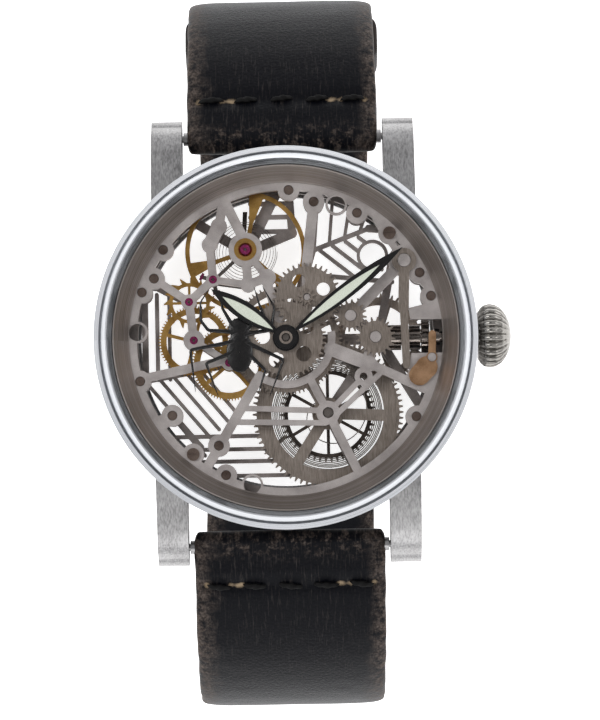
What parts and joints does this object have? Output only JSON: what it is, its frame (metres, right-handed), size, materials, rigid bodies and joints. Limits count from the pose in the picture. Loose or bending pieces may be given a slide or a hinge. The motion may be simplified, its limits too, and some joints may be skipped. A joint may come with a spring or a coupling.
{
  "type": "wristwatch",
  "caption": "Hand-wound wristwatch with an openworked movement under glass, black leaf hands, fluted crown and a stitched leather strap with a pin buckle.",
  "frame": {"origin": "middle of the outer face of the back crystal", "axes": "+Z out of the dial, +X towards the crown at three o'clock, +Y towards twelve o'clock"},
  "size_m": [0.0459, 0.0842, 0.0676],
  "materials": {
    "case_steel": "satin brushed",
    "bezel_steel": "satin with a polished line",
    "crystal": "clear sapphire",
    "back_crystal": "clear mineral",
    "flange_steel": "circular brushed",
    "plate_nickel": "frosted",
    "bridge_nickel": "frosted",
    "screw_steel": "dark, slotted",
    "ruby": "polished",
    "gilt": "gilt",
    "pinion_steel": "polished",
    "wheel_steel": "circular grained",
    "blackened": "black",
    "spring_steel": "blued grey",
    "lume": "luminous paint",
    "black_lacquer": "satin black",
    "lever_bronze": "brown oxidised",
    "leather": "black, distressed",
    "buckle_steel": "satin brushed",
    "crown_steel": "satin, fluted"
  },
  "bodies": {
    "case": {"case_band": "case_steel", "bezel": "bezel_steel", "crystal_front": "crystal", "crystal_back": "back_crystal", "case_back": "case_steel", "flange_ring": "flange_steel", "spring_bars": "case_steel", "main_plate": "plate_nickel", "barrel_bridge": "bridge_nickel", "train_bridge": "bridge_nickel", "balance_cock": "bridge_nickel", "pallet_bridge": "bridge_nickel", "jewels": "ruby", "balance_setting": "gilt", "plate_screws": "screw_steel", "bridge_screws": "screw_steel", "spider": "black_lacquer", "hairspring": "spring_steel"},
    "crown_and_stem": {"crown": "crown_steel", "winding_stem": "pinion_steel"},
    "sliding_pinion": {"sliding_pinion": "pinion_steel"},
    "winding_pinion": {"winding_pinion": "pinion_steel"},
    "crown_wheel": {"crown_wheel": "wheel_steel"},
    "ratchet": {"ratchet_wheel": "blackened", "ratchet_screw": "screw_steel", "barrel_arbor": "pinion_steel"},
    "click": {"click": "wheel_steel"},
    "barrel": {"barrel": "wheel_steel", "mainspring": "spring_steel"},
    "centre": {"centre_wheel": "wheel_steel", "centre_arbor": "pinion_steel"},
    "third": {"third_wheel": "gilt", "third_pinion": "pinion_steel"},
    "fourth": {"fourth_wheel": "gilt", "fourth_pinion": "pinion_steel"},
    "escape": {"escape_wheel": "gilt", "escape_pinion": "pinion_steel"},
    "pallets": {"pallet_fork": "pinion_steel", "pallet_stones": "ruby"},
    "balance": {"balance_wheel": "gilt", "balance_staff": "pinion_steel"},
    "regulator": {"regulator": "blackened"},
    "minute_group": {"cannon_pinion": "wheel_steel", "minute_hand": "black_lacquer", "minute_hand_lume": "lume"},
    "hour_group": {"hour_wheel": "wheel_steel", "hour_hand": "black_lacquer", "hour_hand_lume": "lume"},
    "minute_wheel": {"minute_wheel": "wheel_steel"},
    "intermediate_wheel": {"intermediate_wheel": "wheel_steel"},
    "setting_wheel": {"setting_wheel": "wheel_steel"},
    "setting_lever": {"setting_lever": "lever_bronze"},
    "yoke": {"yoke": "wheel_steel"},
    "strap_12": {"strap_12": "leather", "keeper_fixed": "leather"},
    "keeper_free": {"keeper_free": "leather"},
    "buckle": {"buckle_frame": "buckle_steel", "buckle_bar": "buckle_steel"},
    "tongue": {"buckle_tongue": "buckle_steel"},
    "strap_6": {"strap_6": "leather"}
  },
  "joints": [
    {"name": "crown_turn", "type": "hinge", "parent": "case", "child": "sliding_pinion", "pos_m": [0, 0, 0.005], "axis": [1, 0, 0], "continuous": true},
    {"name": "crown_pull", "type": "slide", "parent": "sliding_pinion", "child": "crown_and_stem", "axis": [1, 0, 0], "range_m": [0, 0.0012]},
    {"name": "winding_pinion_turn", "type": "hinge", "parent": "case", "child": "winding_pinion", "pos_m": [0, 0, 0.005], "axis": [1, 0, 0], "continuous": true},
    {"name": "crown_wheel_turn", "type": "hinge", "parent": "case", "child": "crown_wheel", "pos_m": [0.01026, 0, 0.0025], "axis": [0, 0, 1], "continuous": true},
    {"name": "ratchet_turn", "type": "hinge", "parent": "case", "child": "ratchet", "pos_m": [0.00449, -0.00822, 0.0025], "axis": [0, 0, 1], "continuous": true},
    {"name": "click_swing", "type": "hinge", "parent": "case", "child": "click", "pos_m": [-0.00175, -0.0119, 0.0025], "axis": [0, 0, 1], "range_deg": [0, 12], "stiffness_Nm_per_rad": 0.00002, "springref_deg": -11.46},
    {"name": "fourth_turn", "type": "hinge", "parent": "case", "child": "fourth", "pos_m": [-0.01013, 0, 0.0043], "axis": [0, 0, 1], "continuous": true},
    {"name": "escape_turn", "type": "hinge", "parent": "case", "child": "escape", "pos_m": [-0.01059, 0.00424, 0.005], "axis": [0, 0, 1], "continuous": true},
    {"name": "third_turn", "type": "hinge", "parent": "case", "child": "third", "pos_m": [-0.0063, -0.00253, 0.005], "axis": [0, 0, 1], "continuous": true},
    {"name": "centre_turn", "type": "hinge", "parent": "case", "child": "centre", "pos_m": [0, 0, 0.0057], "axis": [0, 0, 1], "continuous": true},
    {"name": "barrel_turn", "type": "hinge", "parent": "case", "child": "barrel", "pos_m": [0.00449, -0.00822, 0.0045], "axis": [0, 0, 1], "continuous": true},
    {"name": "pallet_swing", "type": "hinge", "parent": "case", "child": "pallets", "pos_m": [-0.00791, 0.00667, 0.005], "axis": [0, 0, 1], "range_deg": [-4, 4]},
    {"name": "balance_swing", "type": "hinge", "parent": "case", "child": "balance", "pos_m": [-0.0043, 0.00992, 0.004], "axis": [0, 0, 1], "range_deg": [-270, 270], "stiffness_Nm_per_rad": 0.000001},
    {"name": "regulator_swing", "type": "hinge", "parent": "case", "child": "regulator", "pos_m": [-0.0043, 0.00992, 0.0021], "axis": [0, 0, 1], "range_deg": [-12, 12]},
    {"name": "minute_turn", "type": "hinge", "parent": "case", "child": "minute_group", "pos_m": [0, 0, 0.009], "axis": [0, 0, 1], "continuous": true},
    {"name": "hour_turn", "type": "hinge", "parent": "case", "child": "hour_group", "pos_m": [0, 0, 0.008], "axis": [0, 0, 1], "continuous": true},
    {"name": "minute_wheel_turn", "type": "hinge", "parent": "case", "child": "minute_wheel", "pos_m": [0.00239, 0.00452, 0.0072], "axis": [0, 0, 1], "continuous": true},
    {"name": "intermediate_turn", "type": "hinge", "parent": "case", "child": "intermediate_wheel", "pos_m": [0.00715, 0.0024, 0.0072], "axis": [0, 0, 1], "continuous": true},
    {"name": "setting_turn", "type": "hinge", "parent": "case", "child": "setting_wheel", "pos_m": [0.00985, 0, 0.0072], "axis": [0, 0, 1], "continuous": true},
    {"name": "setting_lever_swing", "type": "hinge", "parent": "case", "child": "setting_lever", "pos_m": [0.016, -0.00235, 0.0072], "axis": [0, 0, 1], "range_deg": [0, 5]},
    {"name": "yoke_swing", "type": "hinge", "parent": "case", "child": "yoke", "pos_m": [0.01316, 0.00838, 0.0072], "axis": [0, 0, -1], "range_deg": [0, 3], "stiffness_Nm_per_rad": 0.00002, "springref_deg": -5.73},
    {"name": "strap_12_swing", "type": "hinge", "parent": "case", "child": "strap_12", "pos_m": [0, 0.0227, 0.0026], "axis": [1, 0, 0], "range_deg": [0, 75]},
    {"name": "strap_6_swing", "type": "hinge", "parent": "case", "child": "strap_6", "pos_m": [0, -0.0227, 0.0026], "axis": [-1, 0, 0], "range_deg": [0, 75]},
    {"name": "keeper_slide", "type": "hinge", "parent": "strap_12", "child": "keeper_free", "pos_m": [0, 0.01386, -0.02891], "axis": [1, 0, 0], "range_deg": [-8, 8]},
    {"name": "buckle_swing", "type": "hinge", "parent": "strap_12", "child": "buckle", "pos_m": [0, 0.02027, -0.05411], "axis": [-1, 0, 0], "range_deg": [0, 60]},
    {"name": "tongue_swing", "type": "hinge", "parent": "buckle", "child": "tongue", "pos_m": [0, 0.02027, -0.05411], "axis": [-1, 0, 0], "range_deg": [0, 70]}
  ],
  "couplings": [
    {"joint": "escape_turn", "follows": "fourth_turn", "ratio": -10},
    {"joint": "third_turn", "follows": "fourth_turn", "ratio": -0.13333},
    {"joint": "centre_turn", "follows": "fourth_turn", "ratio": 0.016667},
    {"joint": "barrel_turn", "follows": "fourth_turn", "ratio": -0.0025},
    {"joint": "minute_wheel_turn", "follows": "minute_turn", "ratio": -0.41667},
    {"joint": "hour_turn", "follows": "minute_turn", "ratio": 0.083333},
    {"joint": "intermediate_turn", "follows": "minute_turn", "ratio": 0.9375},
    {"joint": "setting_turn", "follows": "minute_turn", "ratio": -0.75},
    {"joint": "winding_pinion_turn", "follows": "crown_turn", "ratio": 1},
    {"joint": "crown_wheel_turn", "follows": "crown_turn", "ratio": -0.625},
    {"joint": "ratchet_turn", "follows": "crown_turn", "ratio": 0.6}
  ]
}
